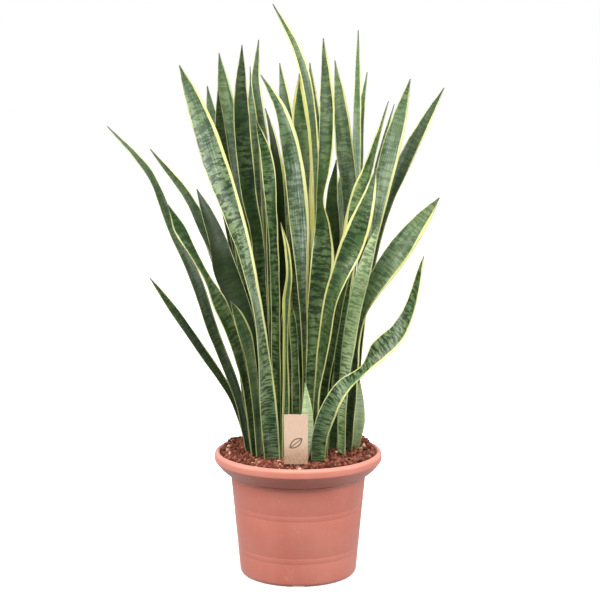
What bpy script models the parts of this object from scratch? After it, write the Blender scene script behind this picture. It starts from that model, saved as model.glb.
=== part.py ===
"""Potted snake plant (Dracaena trifasciata 'Laurentii') in a moulded plastic culture pot.

The pot stands on z = 0 with its axis on the Z axis.  The front of the plant, where the plant
label stands, faces -Y.  Lengths are in metres, except in the leaf table, which is in millimetres.
"""
import bpy
import bmesh
from math import cos, pi, radians, sin
from mathutils import Matrix, Vector

MM = 0.001

# Pot: a 27 cm culture pot with a rolled rim
POT_HEIGHT = 0.2015
RIM_RADIUS = 0.135
RIM_INNER_RADIUS = 0.127
NECK_RADIUS = 0.1095
BODY_TOP_RADIUS = 0.1085
BODY_FOOT_RADIUS = 0.0945
BASE_RADIUS = 0.087
WALL = 0.0024
NECK_HEIGHT = 0.158
GROOVE_HEIGHTS = (0.1185, 0.1095, 0.0480, 0.0385)
GROOVE_DEPTH = 0.0006
TURN_STEPS = 48

# Drain channels under the pot, each with one drain hole
CHANNEL_COUNT = 4
CHANNEL_WIDTH = 0.019
CHANNEL_HEIGHT = 0.003
CHANNEL_START = 0.040
HOLE_RADIUS = 0.006
HOLE_DISTANCE = 0.066

# Soil
GAP = 0.0004
SOIL_TOP = 0.1985
SOIL_EDGE = 0.1930
FOOT_DEPTH = 0.012

# Leaves
# A shape is the foot's width, where the full width starts, where the taper starts, and its power
LEAF_SHAPE = (0.62, 0.50, 0.72, 2.6)
SPEAR_SHAPE = (0.42, 0.35, 0.36, 1.8)
FOOT_THICKNESS = 0.0034
TIP_THICKNESS = 0.0016
FOOT_CUP = 0.16
TIP_CUP = 0.08
TIP_WIDTH = 0.0018
RING_SPACING = 0.045

# Plant label: a thin board on a flat pin
LABEL_WIDTH = 0.037
LABEL_HEIGHT = 0.079
LABEL_THICKNESS = 0.0012
LABEL_FOOT = 0.2045
LABEL_PLACE = (-0.0035, -0.1060)
PIN_WIDTH = 0.0040
PIN_THICKNESS = 0.0016
PIN_FOOT = 0.160
PIN_TOP = 0.236

# Each leaf: name, full width, and its route from the soil to the tip as (x, y, z, turn).
# turn is the way that the leaf's hollow face looks: 0 is to the front, 90 is to the right.
LEAVES = (
    ("leaf_left_broad", 42, ((-41, -62, 198, 0), (-49, -74, 300, 35), (-59, -88, 413, 70),
     (-84, -98, 540, 62), (-118, -106, 648, 35), (-147, -112, 739, 30), (-178, -118, 821, 30))),
    ("leaf_left_short", 24, ((-62, -45, 198, 50), (-68, -50, 294, 60), (-77, -56, 368, 50),
     (-89, -64, 419, 25), (-105, -70, 456, 25))),
    ("leaf_left_dark", 38, ((-59, -20, 198, 15), (-69, -20, 311, 45), (-84, -22, 409, 45),
     (-115, -24, 498, 15), (-128, -25, 546, 45), (-159, -26, 627, 45))),
    ("leaf_left_grey", 30, ((-70, 4, 198, 45), (-86, 6, 322, 55), (-110, 9, 428, 65),
     (-137, 12, 511, 85), (-155, 15, 568, 60), (-181, 18, 616, 70), (-235, 20, 686, 70))),
    ("leaf_left_twisted", 28, ((-69, -36, 198, 45), (-81, -44, 301, 60), (-99, -56, 384, 60),
     (-124, -68, 453, 45), (-154, -78, 515, 90), (-180, -86, 566, 15), (-199, -92, 609, 10))),
    ("leaf_left_arching", 26, ((-78, -10, 198, 40), (-98, -18, 297, 50), (-133, -30, 395, 50),
     (-163, -42, 490, 55), (-198, -52, 571, 65), (-233, -60, 658, 75), (-293, -66, 727, 75))),
    ("leaf_left_low", 17, ((-82, 30, 198, 40), (-103, 20, 276, 45), (-146, 0, 351, 50),
     (-187, -26, 419, 60), (-232, -52, 490, 60))),
    ("leaf_inner_left_tall", 32, ((-49, 0, 198, 30), (-57, 5, 397, 50), (-66, 14, 541, 55),
     (-79, 20, 613, 40), (-91, 30, 747, 30), (-89, 38, 849, 30))),
    ("leaf_back_left_outer", 34, ((-69, 40, 198, 40), (-83, 52, 389, 50), (-107, 64, 551, 50),
     (-133, 76, 680, 35), (-147, 88, 783, 30))),
    ("leaf_back_left_middle", 32, ((-58, 32, 198, 40), (-75, 42, 390, 45), (-101, 49, 553, 50),
     (-123, 48, 682, 45), (-128, 42, 776, 35))),
    ("leaf_back_left_tall", 34, ((-60, 56, 198, 40), (-69, 76, 402, 50), (-88, 94, 565, 55),
     (-105, 106, 678, 50), (-119, 114, 764, 15), (-129, 120, 835, 15))),
    ("leaf_back_left_slim", 24, ((-45, 52, 198, 45), (-59, 66, 436, 45), (-70, 82, 631, 35),
     (-76, 94, 744, 40), (-78, 104, 814, 75))),
    ("leaf_back_left_short", 18, ((-76, 20, 198, 25), (-77, 22, 377, 35), (-84, 26, 458, 35),
     (-103, 30, 539, 35))),
    ("leaf_inner_left_slim", 28, ((-36, 18, 198, 30), (-42, 28, 442, 55), (-48, 38, 619, 60),
     (-60, 46, 733, 60), (-68, 50, 790, 40), (-63, 56, 857, 40))),
    ("leaf_inner_left_banded", 30, ((-32, -34, 198, -55), (-34, -32, 355, -55),
     (-36, -28, 491, -60), (-42, -24, 609, -50), (-50, -20, 679, -20), (-66, -18, 735, -20))),
    ("leaf_inner_left_dark", 27, ((-23, 35, 198, 35), (-25, 45, 440, 45), (-31, 54, 601, 45),
     (-41, 61, 701, 45), (-53, 68, 748, 50))),
    ("leaf_centre_broad", 37, ((9, -8, 198, 45), (11, -6, 334, 70), (6, -4, 463, 62),
     (2, -2, 559, 35), (-10, 2, 673, 30), (-30, 6, 753, 50), (-59, 10, 803, 50))),
    ("leaf_centre_back", 36, ((-4, 44, 198, -35), (3, 60, 437, -40), (-4, 76, 599, -40),
     (-21, 92, 755, -40), (-30, 104, 819, -55))),
    ("leaf_centre_yellow", 36, ((13, 30, 198, 40), (15, 36, 441, 50), (10, 44, 634, 45),
     (2, 50, 749, 0), (2, 54, 804, 0))),
    ("leaf_centre_tallest", 29, ((22, 14, 198, 30), (29, 16, 444, 65), (28, 18, 621, 70),
     (19, 20, 755, 62), (-2, 22, 841, 50), (-40, 24, 913, 50))),
    ("leaf_centre_slim", 30, ((28, 62, 198, -30), (34, 84, 434, -40), (30, 100, 679, -40),
     (22, 116, 783, -30), (19, 124, 819, -30))),
    ("leaf_centre_twisted", 38, ((22, -28, 198, -25), (30, -24, 418, -22), (38, -22, 506, -10),
     (41, -20, 549, -35), (35, -18, 597, -75), (43, -16, 671, -58), (46, -14, 757, -48),
     (39, -12, 860, -48))),
    ("leaf_inner_right_tall", 36, ((45, 22, 198, -30), (65, 33, 359, -45), (81, 47, 521, -45),
     (86, 53, 593, -45), (77, 62, 673, -38), (68, 74, 761, -38), (59, 80, 824, -50))),
    ("leaf_back_right_tall", 28, ((52, 46, 198, 30), (73, 66, 370, 50), (91, 90, 565, 60),
     (95, 110, 727, 60), (98, 130, 872, 60))),
    ("leaf_back_right_slim", 26, ((62, 66, 198, -35), (82, 96, 398, -55), (99, 126, 594, -60),
     (104, 146, 725, -60), (114, 160, 803, -60))),
    ("leaf_back_right_inner", 30, ((32, 47, 198, -25), (50, 62, 421, -40), (58, 73, 538, -35),
     (55, 79, 592, -35), (62, 85, 664, -40))),
    ("leaf_right_yellow", 30, ((55, 2, 198, -30), (67, 8, 380, -40), (81, 14, 525, -35),
     (95, 18, 605, -35), (112, 22, 656, -60), (143, 28, 761, -75))),
    ("leaf_right_upright", 33, ((73, 17, 198, -35), (86, 17, 363, -65), (108, 10, 469, -75),
     (120, 8, 542, -68), (129, 6, 598, -48), (143, 3, 670, -25), (162, -3, 745, -20),
     (175, -8, 797, -20))),
    ("leaf_right_edge_on", 24, ((68, 38, 198, -40), (88, 50, 389, -55), (116, 62, 576, -70),
     (131, 70, 665, -75), (155, 80, 754, -75))),
    ("leaf_right_outer", 31, ((85, 34, 198, -35), (103, 36, 392, -70), (124, 40, 514, -78),
     (147, 44, 597, -70), (164, 46, 646, -50), (185, 50, 691, -45), (233, 56, 781, -50))),
    ("leaf_right_arching", 38, ((80, -4, 198, -55), (91, -8, 310, -75), (98, -16, 409, -80),
     (116, -26, 461, -60), (142, -38, 506, -28), (170, -50, 549, -22), (218, -66, 617, -25))),
    ("leaf_right_young", 26, ((70, -30, 198, -45), (71, -34, 283, -50), (79, -40, 373, -40),
     (89, -44, 438, -30), (101, -46, 493, -30), (125, -40, 571, -30))),
    ("leaf_right_low", 35, ((31, -76, 198, 0), (35, -84, 246, 0), (50, -92, 291, -15),
     (70, -100, 324, -60), (97, -108, 349, -90), (121, -118, 382, -45), (148, -128, 409, -50),
     (169, -138, 450, -68), (189, -150, 537, -65))),
    ("leaf_right_broad", 38, ((28, -50, 198, -55), (30, -58, 304, -75), (42, -68, 394, -60),
     (51, -76, 454, -60), (62, -80, 490, -55), (86, -88, 554, -15), (104, -92, 604, -35),
     (119, -94, 665, -35))),
    ("leaf_right_inner", 28, ((40, -38, 198, -25), (40, -42, 292, -55), (50, -46, 374, -50),
     (65, -54, 455, -55), (82, -60, 506, -55))),
    ("leaf_young_right", 24, ((94, 14, 198, -40), (97, 8, 262, 0), (99, 0, 318, 0))),
    ("leaf_young_front", 22, ((12, -58, 198, -20), (14, -66, 282, 0), (11, -70, 327, 0))),
    ("leaf_front_yellow", 24, ((-21, -50, 198, 40), (-20, -54, 319, 60), (-21, -58, 400, 75),
     (-19, -60, 456, 60), (-15, -64, 516, 70), (-27, -68, 579, 70))),
    ("leaf_front_narrow", 22, ((-4, -30, 198, 20), (-5, -28, 322, 55), (-11, -26, 447, 55))),
    ("leaf_inner_low_left", 24, ((-14, -8, 198, 0), (-16, -6, 330, 0), (-21, -4, 440, 10))),
    ("leaf_inner_low_right", 26, ((36, -6, 198, 0), (44, -4, 330, -10), (52, -2, 450, -10))),
    ("leaf_rear_1", 34, ((-40, 78, 198, 20), (-44, 96, 380, 30), (-50, 130, 560, 40),
     (-58, 178, 700, 30))),
    ("leaf_rear_2", 36, ((2, 82, 198, -20), (-4, 104, 380, -30), (-8, 140, 560, -10),
     (-14, 196, 715, -20))),
    ("leaf_rear_3", 34, ((42, 84, 198, -30), (50, 108, 360, -50), (64, 150, 530, -40),
     (80, 208, 660, -30))),
    ("leaf_rear_4", 32, ((78, 62, 198, -50), (98, 90, 340, -60), (118, 132, 480, -65),
     (138, 184, 585, -60))),
    ("leaf_rear_5", 32, ((-76, 62, 198, 45), (-93, 92, 340, 55), (-104, 138, 470, 60),
     (-110, 192, 570, 50))),
    ("leaf_rear_6", 30, ((20, 94, 198, 15), (26, 124, 330, 30), (34, 172, 440, 20),
     (42, 228, 510, 10))),
    ("leaf_rear_7", 30, ((-22, 96, 198, -20), (-28, 128, 320, -35), (-34, 178, 410, -25),
     (-44, 234, 462, -20))),
    ("leaf_rear_8", 32, ((66, 82, 198, -40), (81, 116, 420, -50), (96, 162, 600, -45),
     (104, 212, 722, -40))),
    ("leaf_rear_9", 32, ((-56, 90, 198, 35), (-72, 124, 410, 45), (-90, 176, 570, 50),
     (-108, 232, 690, 45))),
)
YOUNG_LEAVES = ("leaf_right_young", "leaf_young_right", "leaf_young_front")
SPEAR_LEAVES = ("leaf_young_right", "leaf_young_front")


def material(name, color, roughness):
    """A Principled material of one colour."""
    made = bpy.data.materials.new(name)
    made.use_nodes = True
    shader = made.node_tree.nodes["Principled BSDF"]
    shader.inputs["Base Color"].default_value = (*color, 1.0)
    shader.inputs["Roughness"].default_value = roughness
    shader.inputs["Metallic"].default_value = 0.0
    made.diffuse_color = (*color, 1.0)
    return made


def add_object(name, mesh, collection, surface=None):
    """Put a mesh into the scene as a named object."""
    piece = bpy.data.objects.new(name, mesh)
    collection.objects.link(piece)
    if surface:
        mesh.materials.append(surface)
    return piece


def mesh_from(name, bm):
    """Turn a finished bmesh into a mesh with its faces pointing out."""
    bmesh.ops.recalc_face_normals(bm, faces=bm.faces)
    mesh = bpy.data.meshes.new(name)
    bm.to_mesh(mesh)
    bm.free()
    return mesh


def turned(name, profile, collection, surface=None):
    """A solid of revolution about Z; the profile is (radius, height) from the axis to the axis."""
    bm = bmesh.new()
    points = [bm.verts.new((radius, 0.0, height)) for radius, height in profile]
    for start, end in zip(points, points[1:]):
        bm.edges.new((start, end))
    mesh = bpy.data.meshes.new(name)
    bm.to_mesh(mesh)
    bm.free()
    piece = add_object(name, mesh, collection, surface)
    screw = piece.modifiers.new("turn", "SCREW")
    screw.steps = TURN_STEPS
    screw.render_steps = TURN_STEPS
    screw.use_merge_vertices = True
    screw.merge_threshold = 0.00002
    screw.use_smooth_shade = True
    return piece


def box(name, size, centre, collection, surface=None, spin=0.0):
    """A box; spin turns it and its centre about the pot's axis, in radians."""
    bm = bmesh.new()
    bmesh.ops.create_cube(bm, size=1.0)
    bmesh.ops.scale(bm, vec=size, verts=bm.verts)
    bmesh.ops.translate(bm, vec=centre, verts=bm.verts)
    bmesh.ops.rotate(bm, cent=(0, 0, 0), matrix=Matrix.Rotation(spin, 3, "Z"), verts=bm.verts)
    return add_object(name, mesh_from(name, bm), collection, surface)


def as_cutter(piece):
    """Mark an object as a guide that only cuts others."""
    piece.hide_render = True
    piece.display_type = "WIRE"


def boolean(piece, other, operation):
    """Cut, or join, another object into a piece."""
    step = piece.modifiers.new(other.name, "BOOLEAN")
    step.operation = operation
    step.object = other
    step.solver = "EXACT"


def arc(centre, radius, start, end, count):
    """Points on an arc in the profile plane, angles in degrees from +X towards +Z."""
    angles = [radians(start + (end - start) * i / count) for i in range(count + 1)]
    return [(centre[0] + radius * cos(a), centre[1] + radius * sin(a)) for a in angles]


def wall_radius(height):
    """Outer radius of the pot's body between its foot and its neck."""
    share = (height - 0.008) / (NECK_HEIGHT - 0.008)
    return BODY_FOOT_RADIUS + share * (BODY_TOP_RADIUS - BODY_FOOT_RADIUS)


def pot_outside():
    """The pot's outer profile, from the top of the rim down to the middle of the base."""
    roll = 0.0060
    rim = arc((RIM_RADIUS - roll, POT_HEIGHT - roll), roll, 80, 0, 5)
    skirt = [(RIM_RADIUS - 0.0002, 0.1890), (RIM_RADIUS - 0.0022, 0.1840), (0.1192, 0.1700)]
    neck = [(NECK_RADIUS + 0.0008, 0.1655), (NECK_RADIUS + 0.0018, 0.1640)]
    neck += [(NECK_RADIUS + 0.0002, 0.1620), (BODY_TOP_RADIUS, NECK_HEIGHT)]
    grooves = []
    for height in GROOVE_HEIGHTS:
        for step, depth in ((0.0012, 0.0), (0.0, GROOVE_DEPTH), (-0.0012, 0.0)):
            grooves.append((wall_radius(height + step) - depth, height + step))
    foot = arc((BASE_RADIUS, 0.0075), 0.0075, 0, -90, 5)
    return rim + skirt + neck + grooves + foot + [(0.0, 0.0)]


def pot_inside(gap):
    """The pot's inner profile, from the middle of its floor up to the rim, drawn in by gap."""
    floor = WALL + gap
    return [(0.0, floor), (BASE_RADIUS - 0.004, floor), (0.0915 - gap, 0.0085),
            (BODY_TOP_RADIUS - WALL - gap, NECK_HEIGHT), (0.1165 - gap, 0.1720),
            (RIM_INNER_RADIUS - 0.0022 - gap, 0.1860), (RIM_INNER_RADIUS - 0.0006 - gap, SOIL_EDGE)]


def channel_humps(name, collection, gap):
    """Ridges on the pot's floor, over the drain channels, grown by gap; one box each."""
    length = BASE_RADIUS + 0.001 - CHANNEL_START + WALL + gap
    middle = CHANNEL_START - WALL - gap + length / 2
    low = 0.0008
    high = CHANNEL_HEIGHT + WALL + gap
    size = (CHANNEL_WIDTH + 2 * (WALL + gap), length, high - low)
    ridges = []
    for i in range(CHANNEL_COUNT):
        spin = 2 * pi * i / CHANNEL_COUNT
        ridges.append(box(f"{name}_{i + 1}", size, (0, -middle, (high + low) / 2), collection,
                          spin=spin))
    return ridges


def build_pot(parts, cutters, surface):
    """The pot: a thin shell with a rolled rim, four drain channels and four drain holes."""
    inside = pot_inside(0.0)
    inside += arc((RIM_INNER_RADIUS + 0.0025, POT_HEIGHT - 0.0025), 0.0025, 180, 90, 3)
    pot = turned("pot", inside + pot_outside(), parts, surface)
    for ridge in channel_humps("pot_ridge", cutters, 0.0):
        as_cutter(ridge)
        boolean(pot, ridge, "UNION")
    length = 0.1 - CHANNEL_START
    for i in range(CHANNEL_COUNT):
        spin = 2 * pi * i / CHANNEL_COUNT
        channel = box(f"channel_{i + 1}", (CHANNEL_WIDTH, length, 2 * CHANNEL_HEIGHT),
                      (0, -(CHANNEL_START + length / 2), 0), cutters, spin=spin)
        bm = bmesh.new()
        bmesh.ops.create_cone(bm, cap_ends=True, segments=20, radius1=HOLE_RADIUS,
                              radius2=HOLE_RADIUS, depth=0.03)
        bmesh.ops.translate(bm, vec=(0, -HOLE_DISTANCE, 0), verts=bm.verts)
        bmesh.ops.rotate(bm, cent=(0, 0, 0), matrix=Matrix.Rotation(spin, 3, "Z"),
                         verts=bm.verts)
        hole = add_object(f"drain_{i + 1}", mesh_from("drain", bm), cutters)
        for cutter in (channel, hole):
            as_cutter(cutter)
            boolean(pot, cutter, "DIFFERENCE")
    return pot


def smooth_route(route):
    """A function of the share along a route, 0 to 1, giving (x, y, z, turn) on a smooth curve."""
    knots = [Vector((x * MM, y * MM, z * MM, radians(turn))) for x, y, z, turn in route]
    lengths = [0.0]
    for start, end in zip(knots, knots[1:]):
        lengths.append(lengths[-1] + (end.xyz - start.xyz).length)
    slopes = []
    for i in range(len(knots)):
        low = max(i - 1, 0)
        high = min(i + 1, len(knots) - 1)
        slopes.append((knots[high] - knots[low]) / (lengths[high] - lengths[low]))

    def place(share):
        along = share * lengths[-1]
        i = 0
        while i < len(knots) - 2 and along > lengths[i + 1]:
            i += 1
        span = lengths[i + 1] - lengths[i]
        t = (along - lengths[i]) / span
        return (knots[i] * (2 * t**3 - 3 * t**2 + 1) + slopes[i] * span * (t**3 - 2 * t**2 + t)
                + knots[i + 1] * (3 * t**2 - 2 * t**3) + slopes[i + 1] * span * (t**3 - t**2))

    return place, lengths[-1]


def leaf_width(name, share, full):
    """Width of a leaf: a narrow foot, full width further up, then a pointed tip."""
    foot, full_from, taper_from, power = SPEAR_SHAPE if name in SPEAR_LEAVES else LEAF_SHAPE
    growth = foot + (1 - foot) * min(1.0, share / full_from)
    taper = max(0.0, (share - taper_from) / (1 - taper_from))
    return max(TIP_WIDTH, full * growth * (1 - taper**power))


def leaf_frame(place, share):
    """Centre, direction, face and left side of a leaf at a share of its length."""
    here = place(share)
    along = (place(min(share + 0.01, 1.0)).xyz - place(max(share - 0.01, 0.0)).xyz).normalized()
    face = Vector((sin(here.w), -cos(here.w), 0.0))
    face = (face - along * face.dot(along)).normalized()
    return here.xyz, along, face, face.cross(along)


def leaf_section(centre, face, side, width, share):
    """Four corners of a leaf's section: left edge, hollow face, right edge, round face."""
    thickness = min(FOOT_THICKNESS + (TIP_THICKNESS - FOOT_THICKNESS) * share, width * 0.6)
    cup = width * (FOOT_CUP + (TIP_CUP - FOOT_CUP) * share)
    edge = face * (cup * 0.5)
    return [centre + side * (width / 2) + edge, centre + face * (thickness / 2 - cup * 0.5),
            centre - side * (width / 2) + edge, centre - face * (thickness / 2 + cup * 0.5)]


def loft(name, rings):
    """A closed skin over a row of rings with equal numbers of points."""
    bm = bmesh.new()
    rows = [[bm.verts.new(point) for point in ring] for ring in rings]
    count = len(rows[0])
    for low, high in zip(rows, rows[1:]):
        for i in range(count):
            j = (i + 1) % count
            bm.faces.new((low[i], low[j], high[j], high[i]))
    bm.faces.new(rows[0])
    bm.faces.new(rows[-1])
    bmesh.ops.triangulate(bm, faces=bm.faces)
    return mesh_from(name, bm)


def build_leaf(name, full_width, route, parts, surface):
    """One leaf, from its foot in the soil to its tip."""
    place, length = smooth_route(route)
    full = full_width * MM
    count = max(7, round(length * 0.9 / RING_SPACING))
    shares = [0.9 * i / count for i in range(count + 1)] + [0.955, 0.985, 1.0]
    centre, along, face, side = leaf_frame(place, 0.0)
    rings = [leaf_section(centre - along * FOOT_DEPTH, face, side,
                          leaf_width(name, 0, full), 0)]
    for share in shares:
        centre, _, face, side = leaf_frame(place, share)
        rings.append(leaf_section(centre, face, side, leaf_width(name, share, full), share))
    return add_object(name, loft(name, rings), parts, surface)


def leaf_socket(name, full_width, route, cutters):
    """The slot that a leaf's foot fills in the soil."""
    place, _ = smooth_route(route)
    centre, along, face, side = leaf_frame(place, 0.0)
    width = leaf_width(name, 0, full_width * MM)
    half = width / 2 + 2 * GAP
    deep = (FOOT_THICKNESS + width * FOOT_CUP) / 2 + 2 * GAP
    rings = []
    for reach in (-FOOT_DEPTH - GAP, 0.016):
        middle = centre + along * reach
        rings.append([middle + side * x * half + face * y * deep
                      for x, y in ((1, -1), (1, 1), (-1, 1), (-1, -1))])
    socket = add_object(f"socket_{name}", loft(name, rings), cutters)
    as_cutter(socket)
    return socket


def build_soil(parts, cutters, surface):
    """The soil: it fills the pot, and has a slot for each leaf's foot and the label's pin."""
    side = list(reversed(pot_inside(GAP)))
    top = [(0.0, SOIL_TOP + 0.0010), (0.060, SOIL_TOP + 0.0006), (0.105, SOIL_TOP - 0.0005)]
    soil = turned("soil", top + side, parts, surface)
    for ridge in channel_humps("soil_ridge", cutters, GAP):
        as_cutter(ridge)
        boolean(soil, ridge, "DIFFERENCE")
    pin_slot = box("pin_slot", (PIN_WIDTH + 2 * GAP, PIN_THICKNESS + 2 * GAP, 0.1),
                   (LABEL_PLACE[0], pin_y(), PIN_FOOT - GAP + 0.05), cutters)
    as_cutter(pin_slot)
    boolean(soil, pin_slot, "DIFFERENCE")
    for name, width, route in LEAVES:
        boolean(soil, leaf_socket(name, width, route, cutters), "DIFFERENCE")
    return soil


def pin_y():
    """The pin stands behind the label's board."""
    return LABEL_PLACE[1] + LABEL_THICKNESS / 2 + GAP + PIN_THICKNESS / 2


def build_label(parts, board_surface, pin_surface):
    """The plant label: a plain board with softened edges, and its pin."""
    board = box("label_board", (LABEL_WIDTH, LABEL_THICKNESS, LABEL_HEIGHT),
                (*LABEL_PLACE, LABEL_FOOT + LABEL_HEIGHT / 2), parts, board_surface)
    corners = board.modifiers.new("corners", "BEVEL")
    corners.width = 0.0003
    corners.segments = 1
    box("label_pin", (PIN_WIDTH, PIN_THICKNESS, PIN_TOP - PIN_FOOT),
        (LABEL_PLACE[0], pin_y(), (PIN_TOP + PIN_FOOT) / 2), parts, pin_surface)


def main():
    """Build the whole plant in an empty scene."""
    for item in list(bpy.data.objects):
        bpy.data.objects.remove(item, do_unlink=True)
    parts = bpy.data.collections.new("potted_snake_plant")
    cutters = bpy.data.collections.new("cutters")
    for collection in (parts, cutters):
        bpy.context.scene.collection.children.link(collection)

    terracotta = material("pot_plastic", (0.584, 0.195, 0.140), 0.55)
    earth = material("soil", (0.120, 0.045, 0.025), 0.95)
    green = material("leaf", (0.065, 0.170, 0.070), 0.42)
    pale_green = material("young_leaf", (0.260, 0.440, 0.200), 0.45)
    board = material("label_board", (0.760, 0.560, 0.400), 0.80)
    stick = material("label_pin", (0.800, 0.640, 0.470), 0.75)

    build_pot(parts, cutters, terracotta)
    build_soil(parts, cutters, earth)
    for name, width, route in LEAVES:
        surface = pale_green if name in YOUNG_LEAVES else green
        build_leaf(name, width, route, parts, surface)
    build_label(parts, board, stick)


main()
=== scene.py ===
# %% [markdown]
# # A potted snake plant
#
# This lesson dresses the plain CAD model of a potted snake plant. Every leaf, the soil, the
# pot and the little plant label are modelled again in finer detail around the CAD pieces, and
# each gets a material built from nodes. Lengths are in metres. The pot stands on z = 0 with
# its axis on the Z axis, and the front of the plant faces -Y.

# %% Load the CAD frame
import bpy
import bmesh
import random
from bisect import bisect_right
from math import cos, pi, radians, sin
from mathutils import Euler, Matrix, Vector, noise


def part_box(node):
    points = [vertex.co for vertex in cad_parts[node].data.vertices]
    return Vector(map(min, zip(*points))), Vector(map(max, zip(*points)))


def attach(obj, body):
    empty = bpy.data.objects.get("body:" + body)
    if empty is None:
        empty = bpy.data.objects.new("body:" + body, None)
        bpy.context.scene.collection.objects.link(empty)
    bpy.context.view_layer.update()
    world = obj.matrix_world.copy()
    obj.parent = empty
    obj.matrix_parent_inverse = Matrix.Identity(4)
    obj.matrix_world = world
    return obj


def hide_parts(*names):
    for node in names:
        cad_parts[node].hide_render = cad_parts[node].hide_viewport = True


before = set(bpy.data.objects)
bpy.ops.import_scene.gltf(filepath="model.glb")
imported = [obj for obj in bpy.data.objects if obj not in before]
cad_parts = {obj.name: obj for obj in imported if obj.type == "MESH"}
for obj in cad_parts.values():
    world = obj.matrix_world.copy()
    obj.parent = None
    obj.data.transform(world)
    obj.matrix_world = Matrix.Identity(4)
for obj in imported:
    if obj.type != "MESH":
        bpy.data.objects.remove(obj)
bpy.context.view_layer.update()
scene = bpy.context.scene
MM = 0.001

# %% [markdown]
# ## Four helpers
#
# Colours are picked as sRGB hex values, the way that a colour chart gives them, but the
# renderer works with linear light, so one function converts them. A second one adds a node
# with its settings and links, and a third starts a material. The fourth turns a finished
# bmesh into a piece that rides on the plant's one body and stands for its CAD node.

# %% Colours and nodes


def linear(hex_colour):
    """Linear RGBA from an sRGB hex value such as #4F7A4F."""
    parts = [int(hex_colour[i:i + 2], 16) / 255 for i in (1, 3, 5)]
    return (*[p / 12.92 if p <= 0.04045 else ((p + 0.055) / 1.055) ** 2.4 for p in parts], 1.0)


def add(tree, kind, *given, out=0, **named):
    """Add a node and return its output, or all of its outputs.

    What is given fills the live inputs in order: a value is set, a socket is linked. A name
    with a capital letter is an input as well, as in Scale=3.0, and any other is a setting.
    The output is picked by its name, or by its place among the live ones.
    """
    node = tree.nodes.new("ShaderNode" + kind)
    for key, value in named.items():
        if not key[0].isupper():
            setattr(node, key, value)
    pairs = list(zip([socket for socket in node.inputs if socket.enabled], given))
    pairs += [(node.inputs[key.replace("_", " ")], value) for key, value in named.items()
              if key[0].isupper()]
    for socket, value in pairs:
        if isinstance(value, bpy.types.NodeSocket):
            tree.links.new(value, socket)
        else:
            socket.default_value = value
    if out == "all":
        return node.outputs[:]
    return node.outputs[out] if isinstance(out, str) else \
        [socket for socket in node.outputs if socket.enabled][out]


def new_material(name, **constants):
    """A Principled material; constants go straight onto the shader's own sockets."""
    made = bpy.data.materials.new(name)
    made.use_nodes = True
    shader = made.node_tree.nodes["Principled BSDF"]
    for key, value in constants.items():
        shader.inputs[key.replace("_", " ")].default_value = value
    return made, made.node_tree, shader


print("mid grey #808080 is", round(linear("#808080")[0], 3), "in linear light")


# %% Pieces


def finish_piece(name, bm, material, node, sharp=None):
    """Make a piece of a bmesh; it replaces its CAD node and rides on the plant's body."""
    mesh = bpy.data.meshes.new(name)
    bm.to_mesh(mesh)
    bm.free()
    for face in mesh.polygons:
        face.use_smooth = True
    if sharp is not None:
        mesh.set_sharp_from_angle(angle=radians(sharp))
    mesh.materials.append(material)
    piece = bpy.data.objects.new(name, mesh)
    scene.collection.objects.link(piece)
    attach(piece, "root")
    if node:
        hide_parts(node)
    return piece


# %% [markdown]
# ## Leaf skin
#
# A snake plant's leaf has a thick waxy skin over deep green flesh. Narrow wavy bands cross
# it, dark on a lighter green. They stand a few millimetres apart near the foot and wider
# apart higher up. The margins carry hardly any green, so they show pale yellow, a
# millimetre or two wide on most leaves and up to 14 on a few. Old leaves get a grey bloom,
# partly a painted sheen, and every leaf ends in a dry brown awl.
#
# The bands must follow the leaf through all its bends. Each leaf mesh therefore stores a few
# attributes: its own flat coordinates in millimetres, the distance to both edges, and how
# this one leaf is coloured. The material reads those.

# %% Leaf patterns
# waves in the bands' stretched coordinate, for a band_pitch of one
COARSE_BANDS = 10.4
FINE_BANDS = 24.0


def skin_noises(tree, skin):
    """Noises over the leaf's own millimetres, by name."""
    # waves in a millimetre across and along the leaf, how much detail, and a shift that
    # sets each pattern apart from the others
    field = {}
    for key, across, along, detail, shift in (
            ("jag", 0.22, 0.05, 1.0, 0.0), ("patches", 0.05, 0.012, 3.0, 9.0),
            ("clouds", 0.03, 0.006, 2.0, 12.0), ("streaks", 0.80, 0.020, 3.0, 3.0),
            ("wave", 0.30, 0.050, 2.0, 2.0), ("hue", 0.60, 0.012, 2.0, 7.0),
            ("lines", 2.20, 0.015, 2.0, 4.0), ("splash", 0.35, 0.350, 4.0, 0.0),
            ("ribs", 1.10, 0.010, 2.0, 1.0), ("dents", 0.06, 0.100, 3.0, 6.0)):
        spot = add(tree, "Mapping", skin, (shift, shift, shift), Scale=(across, along, 1.0))
        field[key] = add(tree, "TexNoise", spot, Scale=1.0, Detail=detail)
    return field


def band_mask(tree, skin, field, bands, band_pitch):
    """The dark cross bands: 1 on a band, 0 beside it."""
    x, y, seed = add(tree, "SeparateXYZ", skin, out="all")
    # a power below 1 makes the pitch grow up the leaf, and jags break the bands' edges
    up = add(tree, "Math", add(tree, "Math", y, 1.0, operation="MAXIMUM"), 0.7,
             operation="POWER")
    up = add(tree, "Math", field["jag"], 0.55, up, operation="MULTIPLY_ADD")
    strip = add(tree, "CombineXYZ", x, up, seed)
    coarse, fine = [
        add(tree, "TexNoise", add(tree, "Mapping", strip, Scale=(across, pitch, 1.0)),
            Scale=1.0, Detail=3.0, Roughness=0.6)
        for across, pitch in ((0.050, COARSE_BANDS / band_pitch),
                              (0.12, FINE_BANDS / band_pitch))]
    mixed = add(tree, "Math", fine, 0.35, coarse, operation="MULTIPLY_ADD")
    band = add(tree, "MapRange", mixed, 0.71, 0.63, interpolation_type="SMOOTHSTEP")
    strength = add(tree, "MapRange", field["clouds"], 0.35, 0.60, 0.55, 1.0)
    return add(tree, "Math", band, add(tree, "Math", strength, bands, operation="MULTIPLY"),
               operation="MULTIPLY")


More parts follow.
